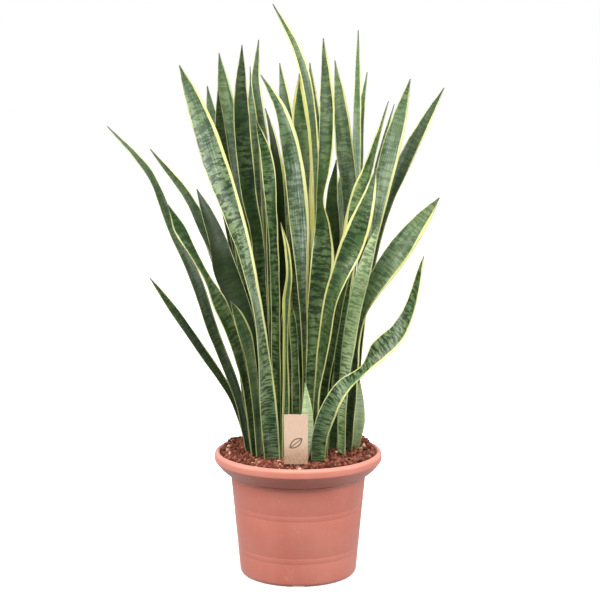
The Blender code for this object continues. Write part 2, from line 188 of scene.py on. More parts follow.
# %% Leaf material


def leaf_skin(name, deep, green, light, bloom_sheen, pale, yellow, edge, band_pitch):
    """Waxy leaf skin: bands, yellow margins, grey bloom and painted sheen, fine ribs, dried tip.
    """
    made, tree, shader = new_material(name, IOR=1.45, Specular_IOR_Level=0.40,
                                      Coat_Weight=0.12, Coat_Roughness=0.25)
    skin, edges, margins, look = [add(tree, "Attribute", attribute_name=key, out="Vector")
                                  for key in ("skin", "edges", "margins", "look")]
    y = add(tree, "SeparateXYZ", skin, out="Y")
    to_left, to_right, share = add(tree, "SeparateXYZ", edges, out="all")
    left, right, warmth = add(tree, "SeparateXYZ", margins, out="all")
    tone, bands, bloom_sheen_amount = add(tree, "SeparateXYZ", look, out="all")
    field = skin_noises(tree, skin)
    band = band_mask(tree, skin, field, bands, band_pitch)

    # flesh: light and dark green in patches, under a veil of grey bloom and painted sheen
    patch = add(tree, "MapRange", field["patches"], 0.35, 0.68, interpolation_type="SMOOTHSTEP")
    body = add(tree, "Mix", patch, linear(green), linear(light), data_type="RGBA")
    body = add(tree, "Mix", tone, linear(deep), body, data_type="RGBA")
    # painted sheen as well as grey bloom: this veil lightens the green towards grey
    bloom_sheen_veil = add(tree, "MapRange", field["streaks"], 0.3, 0.75, interpolation_type="SMOOTHSTEP")
    bloom_sheen_veil = add(tree, "Math", bloom_sheen_veil, bloom_sheen_amount, operation="MULTIPLY")
    bare = add(tree, "MapRange", share, 0.75, 0.92, 1.0, 0.3)
    cloudy = add(tree, "MapRange", field["clouds"], 0.60, 0.42, 0.25, 1.0)
    bloom_sheen_veil = add(tree, "Math", bloom_sheen_veil, add(tree, "Math", bare, cloudy, operation="MULTIPLY"),
               operation="MULTIPLY")
    body = add(tree, "Mix", bloom_sheen_veil, body, linear(bloom_sheen), data_type="RGBA")
    body = add(tree, "Mix", band, body, linear(deep), data_type="RGBA")

    # margins: a wavy inner border, a few green streaks, and a thin olive outer line
    wave = add(tree, "MapRange", field["wave"], 0.0, 1.0, -1.2, 1.2)
    covers = []
    for distance, reach in ((to_left, left), (to_right, right)):
        inner = add(tree, "Math", add(tree, "Math", distance, wave), reach,
                    operation="SUBTRACT")
        covers.append(add(tree, "MapRange", inner, 0.5, -0.5, interpolation_type="SMOOTHSTEP"))
    cover = add(tree, "Math", *covers, operation="MAXIMUM")
    hue = add(tree, "MapRange", field["hue"], 0.3, 0.7, interpolation_type="SMOOTHSTEP")
    hue = add(tree, "Math", hue, warmth, operation="MULTIPLY")
    margin = add(tree, "Mix", hue, linear(pale), linear(yellow), data_type="RGBA")
    lines = add(tree, "MapRange", field["lines"], 0.60, 0.68, 0.0, 0.4)
    margin = add(tree, "Mix", lines, margin, linear(green), data_type="RGBA")
    # a thin margin, and one near the foot, keeps more of its green
    wide = add(tree, "MapRange", add(tree, "Math", left, right, operation="MAXIMUM"),
               1.0, 3.4, 0.45, 1.0)
    high = add(tree, "MapRange", share, 0.04, 0.50, 0.30, 1.0)
    ripe = add(tree, "Math", wide, high, operation="MULTIPLY")
    margin = add(tree, "Mix", ripe, linear(edge), margin, data_type="RGBA")
    colour = add(tree, "Mix", cover, body, margin, data_type="RGBA")
    outer = add(tree, "MapRange", add(tree, "Math", to_left, to_right, operation="MINIMUM"),
                0.40, 0.15, 0.0, 0.5)
    colour = add(tree, "Mix", outer, colour, linear("#6E7440"), data_type="RGBA")

    # a dark end, the dry awl at the tip, and crumbs of soil that stick to the foot
    for place, start, end, most, shade in (
            (share, 0.95, 0.99, 0.5, "#26301F"), (share, 0.988, 0.997, 1.0, "#4C3A22"),
            (add(tree, "Math", field["splash"], 16.0, y, operation="MULTIPLY_ADD"),
             13.0, 7.0, 0.75, "#4A2E20")):
        amount = add(tree, "MapRange", place, start, end, 0.0, most)
        colour = add(tree, "Mix", amount, colour, linear(shade), data_type="RGBA")
    tree.links.new(colour, shader.inputs["Base Color"])

    height = add(tree, "Math", field["ribs"], 0.25, field["dents"], operation="MULTIPLY_ADD")
    bump = add(tree, "Bump", Strength=0.35, Distance=0.0012, Height=height)
    tree.links.new(bump, shader.inputs["Normal"])
    rough = add(tree, "Math", bloom_sheen_veil, field["patches"], operation="MAXIMUM")
    rough = add(tree, "Math", rough, 0.22, 0.28, operation="MULTIPLY_ADD")
    tree.links.new(rough, shader.inputs["Roughness"])
    return made


grown_skin = leaf_skin("waxy_leaf_grown", deep="#15240F", green="#466D34", light="#8AA468",
                       bloom_sheen="#AEB9AE", pale="#DCE0A6", yellow="#D8CC5E", edge="#8C9C64",
                       band_pitch=6.0)
young_skin = leaf_skin("waxy_leaf_young", deep="#4C6E3A", green="#B0CE8A", light="#D8E8BA",
                       bloom_sheen="#BCC8B4", pale="#DDE3B4", yellow="#D3D58A", edge="#B2C190",
                       band_pitch=6.0)
print("leaf skins:", grown_skin.name, "and", young_skin.name)

# %% [markdown]
# ## How each leaf is coloured
#
# No two leaves are alike: the yellow margins are wide on one side and thin on the other,
# some leaves are nearly plain dark green, some of that dark being painted shade, and others
# are grey with bloom and painted sheen. A row gives the width of the left and the right
# margin in millimetres, then how yellow they are, how light the green is, how strong the
# bands are, and how much grey bloom and painted sheen the leaf has, each 0 to 1.
# Three widths in brackets are for the foot, the middle and the tip. The leaves at the rear
# have no row, and draw their looks by chance.

# %% Leaf looks
LOOKS = {
    "leaf_left_broad": ((1.4, 1.8, 1.6), (2.4, 5.0, 3.6), 0.5, 0.65, 0.90, 0.80),
    "leaf_left_short": (1.4, 2.0, 0.5, 0.60, 0.50, 0.30),
    # painted shade in part: this leaf's near-black green stands for the shade it lies in
    "leaf_left_dark": (0.9, 1.0, 0.3, 0.10, 0.60, 0.0),
    "leaf_left_grey": (1.0, 2.2, 0.5, 0.25, 0.50, 0.30),
    "leaf_left_twisted": (2.6, 1.6, 0.6, 0.50, 0.70, 0.15),
    "leaf_left_arching": (1.0, 2.2, 0.5, 0.25, 0.50, 0.35),
    "leaf_left_low": (1.0, 1.6, 0.4, 0.25, 0.60, 0.20),
    "leaf_inner_left_tall": (1.3, 1.6, 0.5, 0.22, 1.0, 0.0),
    "leaf_back_left_outer": (1.2, 1.4, 0.5, 0.45, 0.35, 0.75),
    "leaf_back_left_middle": (1.4, 1.6, 0.5, 0.20, 0.80, 0.0),
    "leaf_back_left_tall": (0.8, 2.2, 0.4, 0.60, 0.45, 0.90),
    "leaf_back_left_slim": (1.8, 2.6, 0.9, 0.55, 0.50, 0.50),
    "leaf_back_left_short": (1.5, 2.0, 0.6, 0.50, 0.60, 0.20),
    "leaf_inner_left_slim": (1.6, 3.0, 0.7, 0.45, 0.85, 0.20),
    "leaf_inner_left_banded": (1.6, 2.4, 0.6, 0.55, 1.0, 0.0),
    # painted shade: this leaf deep in the clump is coloured dark for the shade it lies in
    "leaf_inner_left_dark": (1.8, 3.2, 0.8, 0.08, 0.60, 0.0),
    "leaf_centre_broad": (1.6, 5.2, 0.6, 0.60, 0.70, 0.90),
    "leaf_centre_back": (1.6, 3.5, 0.8, 0.45, 0.60, 0.10),
    "leaf_centre_yellow": (6.0, 6.5, 1.0, 0.60, 0.50, 0.20),
    "leaf_centre_tallest": (3.4, 3.6, 1.0, 0.45, 0.50, 0.30),
    "leaf_centre_slim": (1.2, 2.8, 0.9, 0.40, 0.50, 0.35),
    "leaf_centre_twisted": (1.6, 3.8, 0.8, 0.48, 0.90, 0.0),
    "leaf_inner_right_tall": (1.2, 3.6, 0.6, 0.65, 0.55, 0.70),
    "leaf_back_right_tall": (1.0, 2.2, 0.4, 0.75, 0.35, 0.75),
    "leaf_back_right_slim": (1.0, 1.6, 0.4, 0.65, 0.40, 0.85),
    # painted shade: this leaf deep in the clump is coloured dark for the shade it lies in
    "leaf_back_right_inner": (1.4, 1.6, 0.6, 0.25, 0.80, 0.0),
    "leaf_right_yellow": (5.0, 2.0, 0.7, 0.70, 0.80, 0.15),
    "leaf_right_upright": (1.6, 4.2, 0.4, 0.90, 0.60, 1.0),
    "leaf_right_edge_on": (1.4, 2.0, 0.6, 0.45, 0.60, 0.25),
    "leaf_right_outer": (1.2, 3.0, 0.5, 0.30, 0.50, 0.50),
    "leaf_right_arching": (1.2, (3.0, 8.5, 3.5), 0.6, 0.85, 0.55, 1.0),
    "leaf_right_young": (1.6, 2.2, 0.4, 0.95, 0.90, 0.10),
    "leaf_right_low": ((0.4, 2.0, 2.0), (0.4, 6.0, 6.0), 0.5, 0.68, 1.0, 0.35),
    "leaf_right_broad": (3.6, 4.0, 0.8, 0.56, 0.85, 0.10),
    "leaf_right_inner": (1.8, 2.2, 0.6, 0.55, 0.70, 0.20),
    "leaf_young_right": (1.0, 1.4, 0.2, 1.0, 0.35, 1.0),
    "leaf_young_front": (1.0, 2.6, 0.3, 1.0, 0.35, 0.90),
    "leaf_front_yellow": ((3.0, 14.0, 10.0), (2.0, 4.0, 4.0), 0.9, 0.65, 0.50, 0.25),
    "leaf_front_narrow": (1.4, 1.6, 0.4, 0.60, 0.85, 0.35),
    "leaf_inner_low_left": (1.0, 1.2, 0.3, 0.35, 0.80, 0.20),
    "leaf_inner_low_right": (1.2, 1.0, 0.3, 0.30, 0.80, 0.15),
}
YOUNG = ("leaf_right_young", "leaf_young_right", "leaf_young_front")
print(len(LOOKS), "leaves have a row,", len(YOUNG), "of them are young")

# %% [markdown]
# ## Leaves
#
# A leaf is a long thick strap: hollow on one face, round on the other, with soft rounded
# edges that ripple a little. The CAD leaf is a coarse strap with four corners in each ring:
# two edges and the middles of the two faces. Those corners are read ring by ring, and a
# smooth curve goes through each row of corners. A grid is then wrapped into a closed tube
# around the four curves, which gives a fine leaf in exactly the same place. Wrapping a grid
# was chosen over a subdivision surface because the section stays under full control.

# %% Read a CAD leaf


def leaf_rings(node):
    """Rings of a CAD leaf from foot to tip, each (left edge, right edge, hollow, back)."""
    bm = bmesh.new()
    bm.from_mesh(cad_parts[node].data)
    bmesh.ops.remove_doubles(bm, verts=bm.verts, dist=0.02 * MM)
    ring = sorted(bm.verts, key=lambda v: v.co.z)[:4]
    seen = set(ring)
    loops = []
    while ring:
        loops.append([v.co.copy() for v in sorted(ring, key=lambda v: tuple(v.co))])
        ring = {e.other_vert(v) for v in ring for e in v.link_edges} - seen
        seen |= ring
    bm.free()
    centres = [sum(loop, Vector()) / 4 for loop in loops]
    rings = []
    for i, loop in enumerate(loops):
        assert len(loop) == 4, f"{node}: ring {i} has {len(loop)} corners"
        pairs = [(a, b) for a in loop for b in loop if a is not b]
        a, b = max(pairs, key=lambda pair: (pair[0] - pair[1]).length)
        hollow, back = sorted((p for p in loop if p is not a and p is not b),
                              key=lambda p: (p - (a + b) / 2).length)
        along = centres[min(i + 1, len(loops) - 1)] - centres[max(i - 1, 0)]
        side = (hollow - back).cross(along)
        left, right = (a, b) if (a - b).dot(side) > 0 else (b, a)
        rings.append((left, right, hollow, back))
    return rings, centres


def on_curve(points, marks, at):
    """The point on a smooth curve through points, whose places along it are marks."""
    i = min(max(bisect_right(marks, at) - 1, 0), len(points) - 2)
    span = marks[i + 1] - marks[i]
    t = (at - marks[i]) / span
    slopes = []
    for k in (i, i + 1):
        low, high = max(k - 1, 0), min(k + 1, len(points) - 1)
        slopes.append((points[high] - points[low]) / (marks[high] - marks[low]) * span)
    return (points[i] * (2 * t**3 - 3 * t**2 + 1) + slopes[0] * (t**3 - 2 * t**2 + t)
            + points[i + 1] * (3 * t**2 - 2 * t**3) + slopes[1] * (t**3 - t**2))


print("leaf_left_broad has", len(leaf_rings("leaf_left_broad")[0]), "rings in the CAD model")

# %% Ripples and margins
AROUND = 18
RING_STEP = 5.5 * MM
RIPPLE = 0.9 * MM
BURIED = 12 * MM
HOLLOW_SHAPE = 0.85
EDGE_ROUNDNESS = 0.7


def ripple(along, seed, pitch):
    """A smooth wander between -1 and 1 along a leaf; pitch is in metres."""
    return noise.noise(Vector((along / pitch, seed * 3.7, 0.5))) * 1.6


def margin_width(values, share, width, along, seed):
    """Margin width in millimetres at a share of the leaf; values are at foot, middle and tip."""
    foot, middle, tip = values if isinstance(values, tuple) else (values,) * 3
    base = foot + (middle - foot) * share * 2 if share < 0.5 else \
        middle + (tip - middle) * (share * 2 - 1)
    uneven = (1 + 0.35 * ripple(along, seed, 0.07)) * min(1.0, (1 - share) / 0.12 + 0.25)
    return min(base * uneven, (0.22 if base < 6 else 0.6) * width)


print("a leaf gets a ring every", RING_STEP / MM, "mm, with", AROUND, "points around it")

# %% One fine leaf


def build_leaf(node, number, look):
    """A fine closed leaf around the rings of its CAD node, with its skin attributes."""
    rings, centres = leaf_rings(node)
    marks = [0.0]
    for low, high in zip(centres, centres[1:]):
        marks.append(marks[-1] + (high - low).length)
    rows = round(marks[-1] / RING_STEP)
    stations = []
    for row in range(rows + 1):
        at = marks[-1] * row / rows
        left, right, hollow, back = [on_curve([ring[k] for ring in rings], marks, at)
                                     for k in range(4)]
        face = (hollow - back).normalized()
        side = (left - right).normalized()
        width = (left - right).length
        swing = RIPPLE * min(1.0, width / (20 * MM))
        left = left + face * swing * ripple(at, number, 0.045)
        right = right + face * swing * ripple(at, number + 50, 0.038)
        left = left + side * swing * 0.5 * ripple(at, number + 90, 0.06)
        right = right - side * swing * 0.5 * ripple(at, number + 130, 0.055)
        share = row / rows
        reach = [margin_width(look[k], share, width / MM, at, number + 170 + 40 * k)
                 for k in (0, 1)]
        stations.append((at, left, right, hollow, back, (*reach, look[2])))
    bm = bmesh.new()
    bmesh.ops.create_grid(bm, x_segments=AROUND, y_segments=rows, size=0.5)
    layers = [bm.verts.layers.float_vector.new(name)
              for name in ("skin", "edges", "margins", "look")]
    for v in bm.verts:
        turn = (v.co.x + 0.5) * 2 * pi
        share = v.co.y + 0.5
        at, left, right, hollow, back, margins = stations[round(share * rows)]
        across = 0.5 - 0.5 * cos(turn)
        line = left.lerp(right, across)
        sag = ((hollow + back) - (left + right)) / 2
        arch = (4 * across * (1 - across)) ** HOLLOW_SHAPE
        half = (hollow - back) / 2 * abs(sin(turn)) ** EDGE_ROUNDNESS
        v.co = line + sag * arch + (half if turn < pi else -half)
        width = (left - right).length / MM
        v[layers[0]] = ((across - 0.5) * width, (at - BURIED) / MM, number * 7.3)
        v[layers[1]] = (across * width, (1 - across) * width, share)
        v[layers[2]] = margins
        v[layers[3]] = look[3:]
    bmesh.ops.remove_doubles(bm, verts=bm.verts, dist=0.002 * MM)
    bmesh.ops.holes_fill(bm, edges=bm.edges, sides=0)
    bmesh.ops.recalc_face_normals(bm, faces=bm.faces)
    young = node in YOUNG
    return finish_piece("fine_" + node, bm, young_skin if young else grown_skin, node)


# %% Build the fine leaves
draw = random.Random(11)
leaf_nodes = sorted(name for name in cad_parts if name.startswith("leaf_"))
for number, node in enumerate(leaf_nodes):
    chance = (draw.uniform(1.2, 4.0), draw.uniform(1.2, 5.0), draw.uniform(0.4, 0.9),
              draw.uniform(0.4, 0.8), draw.uniform(0.5, 0.95), draw.uniform(0.1, 0.6))
    build_leaf(node, number, LOOKS.get(node, chance))
print(len(leaf_nodes), "leaves")

# %% [markdown]
# ## Pot
#
# The pot is injection-moulded plastic in a terracotta colour. It is round, so a spin of
# its profile makes it: a thin wall with a rolled rim, a skirt that runs in to a narrow neck
# ring, two pairs of shallow grooves, and a rounded foot. Booleans then join ridges to the
# floor and cut the channels under it and the drain holes, as a mould's inserts would.

# %% Pot material


def moulded_plastic():
    """Matte polypropylene: a very fine mould texture, soft flow marks and some dust."""
    made, tree, shader = new_material("moulded_terracotta_plastic", IOR=1.49,
                                      Sheen_Weight=0.25, Sheen_Roughness=0.45)
    place = add(tree, "TexCoord", out="Object")
    # waves in a metre, detail and upright stretch of each pattern; the pores of a mould
    # texture are about 0.4 mm wide and drawn at 1 mm, so that they show
    field = {}
    for key, waves, detail, rough, upright in (
            ("cloud", 14.0, 3.0, 0.5, 1.0), ("flow", 30.0, 2.0, 0.5, 0.12),
            ("dust", 90.0, 5.0, 0.7, 1.0), ("pores", 1000.0, 1.0, 0.5, 1.0),
            ("swell", 60.0, 2.0, 0.5, 1.0)):
        spot = add(tree, "Mapping", place, Scale=(1.0, 1.0, upright))
        field[key] = add(tree, "TexNoise", spot, Scale=waves, Detail=detail, Roughness=rough)
    mottle = add(tree, "Math", field["flow"], 0.5, field["cloud"], operation="MULTIPLY_ADD")
    mottle = add(tree, "MapRange", mottle, 0.5, 1.0, interpolation_type="SMOOTHSTEP")
    colour = add(tree, "Mix", mottle, linear("#BE6C5B"), linear("#C47766"), data_type="RGBA")
    z = add(tree, "SeparateXYZ", place, out="Z")
    # painted highlight: the rim's top is coloured lighter, as where the light falls on it
    painted_rim_highlight = add(tree, "MapRange", z, 0.180, 0.196, 0.0, 0.28, interpolation_type="SMOOTHSTEP")
    colour = add(tree, "Mix", painted_rim_highlight, colour, linear("#DC9582"), data_type="RGBA")
    dust = add(tree, "MapRange", field["dust"], 0.56, 0.75, interpolation_type="SMOOTHSTEP")
    amount = add(tree, "Math", dust, 0.20, operation="MULTIPLY")
    colour = add(tree, "Mix", amount, colour, linear("#DDAC9C"), data_type="RGBA")
    tree.links.new(colour, shader.inputs["Base Color"])
    height = add(tree, "Math", field["pores"], 0.12, field["swell"], operation="MULTIPLY_ADD")
    bump = add(tree, "Bump", Strength=0.2, Distance=0.0008, Height=height)
    tree.links.new(bump, shader.inputs["Normal"])
    rough = add(tree, "Math", dust, 0.2, 0.46, operation="MULTIPLY_ADD")
    tree.links.new(rough, shader.inputs["Roughness"])
    return made


pot_plastic = moulded_plastic()
print("pot material:", pot_plastic.name)

# %% Profile helpers
POT_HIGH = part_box("pot")[1]
RIM = POT_HIGH.x
HEIGHT = POT_HIGH.z
POT_STEPS = 144
WALL = 2.4 * MM
GROOVE_HEIGHTS = (0.1185, 0.1095, 0.0480, 0.0385)


def arc(centre, radius, start, end, count):
    """Profile points on an arc; angles in degrees from outwards to upwards."""
    angles = [radians(start + (end - start) * i / count) for i in range(count + 1)]
    return [(centre[0] + radius * cos(a), centre[1] + radius * sin(a)) for a in angles]


def body_radius(height):
    """Outer radius of the pot's tapered body."""
    return 0.0945 + (height - 0.008) / 0.150 * 0.014


def spin_profile(profile, steps):
    """A closed solid of revolution from a profile that starts and ends on the axis."""
    bm = bmesh.new()
    points = [bm.verts.new((radius, 0.0, height)) for radius, height in profile]
    for start, end in zip(points, points[1:]):
        bm.edges.new((start, end))
    bmesh.ops.spin(bm, geom=bm.verts[:] + bm.edges[:], cent=(0, 0, 0), axis=(0, 0, 1),
                   angle=2 * pi, steps=steps, use_merge=True)
    bmesh.ops.remove_doubles(bm, verts=bm.verts, dist=0.01 * MM)
    bmesh.ops.dissolve_degenerate(bm, edges=bm.edges, dist=0.001 * MM)
    bmesh.ops.recalc_face_normals(bm, faces=bm.faces)
    return bm


print("the pot is", round(2 * RIM / MM), "mm across its rim and", round(HEIGHT / MM), "mm high")

# %% Turn the pot
profile = [(0.0, WALL), (0.083, WALL)] + arc((0.0855, 0.0085), 0.0060, -60, 0, 4)
profile += [(0.1061, 0.158), (0.1075, 0.1610), (0.1165, 0.1720), (0.1236, 0.1845),
            (0.1262, 0.1900), (0.1270, 0.1950)]
profile += arc((0.1295, HEIGHT - 0.0025), 0.0025, 180, 90, 5)
profile += arc((RIM - 0.0060, HEIGHT - 0.0060), 0.0060, 82, 0, 10)
profile += [(RIM, 0.1915)] + arc((RIM - 0.0035, 0.1890), 0.0035, 0, -50, 4)
profile += [(0.1302, 0.1815), (0.1250, 0.1755), (0.1190, 0.1700), (0.1135, 0.1664)]
profile += arc((0.1101, 0.1643), 0.0014, 60, -60, 4)
profile += [(0.1096, 0.1622), (0.1088, 0.1600), (body_radius(0.1575), 0.1575)]
for height in GROOVE_HEIGHTS:
    for offset, depth in ((1.5, 0.0), (0.7, 0.15), (0.0, 0.24), (-0.7, 0.15), (-1.5, 0.0)):
        profile.append((body_radius(height + offset * MM) - depth * MM, height + offset * MM))
profile += arc((0.0870, 0.0075), 0.0075, 0, -90, 6) + [(0.0400, 0.0), (0.0, 0.0)]
bm = spin_profile(profile, POT_STEPS)
print("pot profile has", len(profile), "points")

# %% Drain cutters


def four_around(bm, verts_of):
    """Make a shape four times, a quarter turn apart about the pot's axis."""
    for quarter in range(4):
        verts = verts_of(bm)
        bmesh.ops.rotate(bm, cent=(0, 0, 0), matrix=Matrix.Rotation(quarter * pi / 2, 3, "Z"),
                         verts=verts)


def bar(width, start, end, low, high):
    """A maker of a box along -Y, from start to end metres from the axis."""
    def make(bm):
        verts = bmesh.ops.create_cube(bm, size=1.0)["verts"]
        bmesh.ops.scale(bm, vec=(width, end - start, high - low), verts=verts)
        bmesh.ops.translate(bm, vec=(0, -(start + end) / 2, (low + high) / 2), verts=verts)
        return verts
    return make


def hole(bm):
    """A cutter for a drain hole."""
    verts = bmesh.ops.create_cone(bm, cap_ends=True, segments=32, radius1=6 * MM,
                                  radius2=6 * MM, depth=30 * MM)["verts"]
    bmesh.ops.translate(bm, vec=(0, -66 * MM, 0), verts=verts)
    return verts


# %% Cut the drain channels and holes


def combined(bm, cuts):
    """Join or cut other shapes into a bmesh with exact Booleans, and return a new bmesh."""
    mesh = bpy.data.meshes.new("blank")
    bm.to_mesh(mesh)
    bm.free()
    blank = bpy.data.objects.new("blank", mesh)
    scene.collection.objects.link(blank)
    helpers = [blank]
    for operation, maker in cuts:
        tool_bm = bmesh.new()
        four_around(tool_bm, maker)
        tool_mesh = bpy.data.meshes.new("tool")
        tool_bm.to_mesh(tool_mesh)
        tool_bm.free()
        tool = bpy.data.objects.new("tool", tool_mesh)
        scene.collection.objects.link(tool)
        helpers.append(tool)
        cut = blank.modifiers.new("cut", "BOOLEAN")
        cut.operation = operation
        cut.solver = "EXACT"
        cut.object = tool
    bpy.context.view_layer.update()
    result = bmesh.new()
    result.from_object(blank, bpy.context.evaluated_depsgraph_get())
    for helper in helpers:
        bpy.data.objects.remove(helper, do_unlink=True)
    return result


ridge = bar(19 * MM + 2 * WALL, 0.0376, 0.0878, 0.0008, 0.0054)
channel = bar(19 * MM, 0.040, 0.100, -0.003, 0.003)
bm = combined(bm, (("UNION", ridge), ("DIFFERENCE", channel), ("DIFFERENCE", hole)))
pot = finish_piece("turned_pot", bm, pot_plastic, "pot", sharp=35)
print("the pot has", len(pot.data.polygons), "faces")

# %% [markdown]
# ## Soil
#
# Potting mix for this plant is mostly coir and bark: reddish brown, loose and full of
# lumps. The bed is a turned plug whose top is pushed up and down by noise at three scales.
# Loose crumbs, flat bark chips and thin fibres lie on it. Each crumb keeps a shade of its
# own in an attribute, so that one material can colour them all differently.

# %% Soil material


def potting_mix():
    """Moist coir and bark: dark red-brown crumbs, some lighter bits, no gloss."""
    made, tree, shader = new_material("coir_potting_mix", Roughness=0.95, IOR=1.4,
                                      Specular_IOR_Level=0.25)
    place = add(tree, "TexCoord", out="Object")
    shade = add(tree, "Attribute", attribute_name="shade", out="Fac")
    # crumbs of 3 mm, and specks of 1 mm
    crumbs = add(tree, "TexNoise", place, Scale=330.0, Detail=4.0, Roughness=0.7)
    colour = linear("#43211A")
    for value, start, end, tint in (
            (crumbs, 0.35, 0.65, "#78402F"), (shade, 0.50, 0.85, "#8E5442"),
            (shade, 0.965, 0.99, "#C8A38A"), (shade, 0.16, 0.04, "#23130F")):
        amount = add(tree, "MapRange", value, start, end, interpolation_type="SMOOTHSTEP")
        colour = add(tree, "Mix", amount, colour, linear(tint), data_type="RGBA")
    tree.links.new(colour, shader.inputs["Base Color"])
    specks = add(tree, "TexNoise", place, Scale=900.0, Detail=3.0)
    bump = add(tree, "Bump", Strength=0.8, Distance=0.0012, Height=specks)
    tree.links.new(bump, shader.inputs["Normal"])
    return made


soil_mix = potting_mix()
print("soil material:", soil_mix.name)

# %% Soil bed
SOIL_LEVEL = 198.0 * MM
# where each mound lies, how high it is in millimetres, and its radius
MOUNDS = (((-0.098, 0.050), 9.0, 0.045), ((0.102, 0.048), 10.0, 0.042))


def soil_height(x, y):
    """Height of the soil's lumpy top at a place."""
    spot = Vector((x, y, 0.0))
    lumps = 2.6 * noise.noise(spot * 45) + 1.7 * noise.noise(spot * 110)
    lumps += 0.9 * noise.noise(spot * 260)
    radius = spot.length
    edge = max(0.0, (radius - 0.117) / 0.008)
    mounds = sum(high * max(0.0, 1 - (spot - Vector((*place, 0))).length / reach)
                 for place, high, reach in MOUNDS)
    front = -1.0 * max(0.0, -y / 0.12)
    return SOIL_LEVEL + (lumps + mounds + front + 1.6 - 1.5 * edge) * MM


profile = [(0.0, SOIL_LEVEL)] + [(0.0026 * i, SOIL_LEVEL) for i in range(1, 49)]
profile += [(0.1255, 0.1955), (0.1226, 0.1850), (0.1155, 0.1720), (0.1052, 0.1570),
            (0.0890, 0.0090), (0.0860, 0.0060), (0.0, 0.0060)]
bm = spin_profile(profile, 180)
shade_layer = bm.verts.layers.float.new("shade")
for v in bm.verts:
    if v.co.z > SOIL_LEVEL - 0.1 * MM:
        v.co.z = soil_height(v.co.x, v.co.y)
    v[shade_layer] = 0.3
soil = finish_piece("soil_bed", bm, soil_mix, "soil")
print("the soil's top lies between", round(min(v.co.z for v in soil.data.vertices
                                               if v.co.z > SOIL_LEVEL - 9 * MM) / MM), "and",
      round(max(v.co.z for v in soil.data.vertices) / MM), "mm")

# %% Where the loose bits lie
CRUMBS = 4400
CHIPS = 420
FIBRES = 150
BATCH = 40


def scatter_spot(rng):
    """A place on the soil, and its height."""
    while True:
        x, y = rng.uniform(-0.122, 0.122), rng.uniform(-0.122, 0.122)
        if Vector((x, y)).length < 0.1235:
            return x, y, soil_height(x, y)


def shade_verts(bm, verts, value):
    """Give the new vertices one shade."""
    layer = bm.verts.layers.float["shade"]
    for v in verts:
        v[layer] = value


def heap(count, make_one, rng):
    """A bmesh of many bits, made in small batches, as operators slow down in a big one."""
    whole = bmesh.new()
    for first in range(0, count, BATCH):
        bm = bmesh.new()
        bm.verts.layers.float.new("shade")
        for _ in range(min(BATCH, count - first)):
            make_one(bm, rng)
        bmesh.ops.recalc_face_normals(bm, faces=bm.faces)
        mesh = bpy.data.meshes.new("batch")
        bm.to_mesh(mesh)
        bm.free()
        whole.from_mesh(mesh)
        bpy.data.meshes.remove(mesh)
    return whole


# %% A crumb, a chip and a fibre


def crumb(bm, rng):
    """A small uneven lump of soil."""
    x, y, z = scatter_spot(rng)
    size = rng.choice((0.9, 1.2, 1.6, 2.2, 3.0, 4.2)) * MM
    turn = Euler([rng.uniform(0, 2 * pi) for _ in range(3)]).to_matrix().to_4x4()
    stretch = Matrix.Diagonal((rng.uniform(0.8, 1.5), rng.uniform(0.7, 1.1),
                               rng.uniform(0.5, 0.9), 1.0))
    where = Matrix.Translation((x, y, z + size * rng.uniform(0.0, 0.5)))
    verts = bmesh.ops.create_icosphere(bm, subdivisions=1, radius=size,
                                       matrix=where @ turn @ stretch)["verts"]
    shade_verts(bm, verts, rng.random())


def chip(bm, rng):
    """A flat splinter of bark."""
    x, y, z = scatter_spot(rng)
    size = (rng.uniform(4, 11) * MM, rng.uniform(1.8, 4.2) * MM, rng.uniform(0.8, 1.8) * MM)
    tilt = Euler((rng.gauss(0, 0.4), rng.gauss(0, 0.4), rng.uniform(0, 2 * pi)))
    where = Matrix.Translation((x, y, z + 0.9 * MM))
    verts = bmesh.ops.create_cube(bm, size=1.0, matrix=where @ tilt.to_matrix().to_4x4()
                                  @ Matrix.Diagonal((*size, 1.0)))["verts"]
    for v in verts:
        v.co += noise.noise_vector(v.co * 900) * 0.8 * MM
    shade_verts(bm, verts, rng.random() ** 1.3)


def fibre(bm, rng):
    """A thin bent fibre of coir."""
    x, y, z = scatter_spot(rng)
    start = Vector((x, y, z + 0.8 * MM))
    heading = rng.uniform(0, 2 * pi)
    ring = bmesh.ops.create_circle(bm, cap_ends=True, segments=4, radius=rng.uniform(0.25, 0.5)
                                   * MM)["verts"]
    bmesh.ops.rotate(bm, cent=(0, 0, 0), matrix=Matrix.Rotation(pi / 2, 3, "Y"), verts=ring)
    bmesh.ops.rotate(bm, cent=(0, 0, 0), matrix=Matrix.Rotation(heading, 3, "Z"), verts=ring)
    bmesh.ops.translate(bm, vec=start, verts=ring)
    value = rng.random()
    shade_verts(bm, ring, value)
    face = ring[0].link_faces[0]
    for _ in range(5):
        heading += rng.gauss(0, 0.4)
        move = Vector((cos(heading), sin(heading), rng.gauss(0.06, 0.25))) * 3.2 * MM
        made = bmesh.ops.extrude_discrete_faces(bm, faces=[face])
        face = made["faces"][0]
        bmesh.ops.translate(bm, vec=move, verts=face.verts)
        shade_verts(bm, face.verts, value)


# %% Scatter them
rng = random.Random(23)
# the chips are roughened with noise_vector, which starts from the clock without a seed
noise.seed_set(23)
for name, count, make_one in (("soil_crumbs", CRUMBS, crumb), ("bark_chips", CHIPS, chip),
                              ("coir_fibres", FIBRES, fibre)):
    finish_piece(name, heap(count, make_one, rng), soil_mix, None, sharp=55)
    print(name, "holds", count, "bits")

# %% [markdown]
# ## Plant label
#
# The label is a piece of thin kraft board with a slightly frayed top edge, printed with a
# plain leaf sign, and a flat wooden pin holds it in the soil. The board is a cube, cut up
# finely so that it can bow a little, and the pin's edges are softened with a bevel.

# %% Kraft board
# the printed sign, in millimetres: two arcs and a rib make the outline of a leaf
ARC_SHIFT = 9.0
ARC_OUTER = 15.6
ARC_INNER = 13.6
RIB_HALF = 0.8


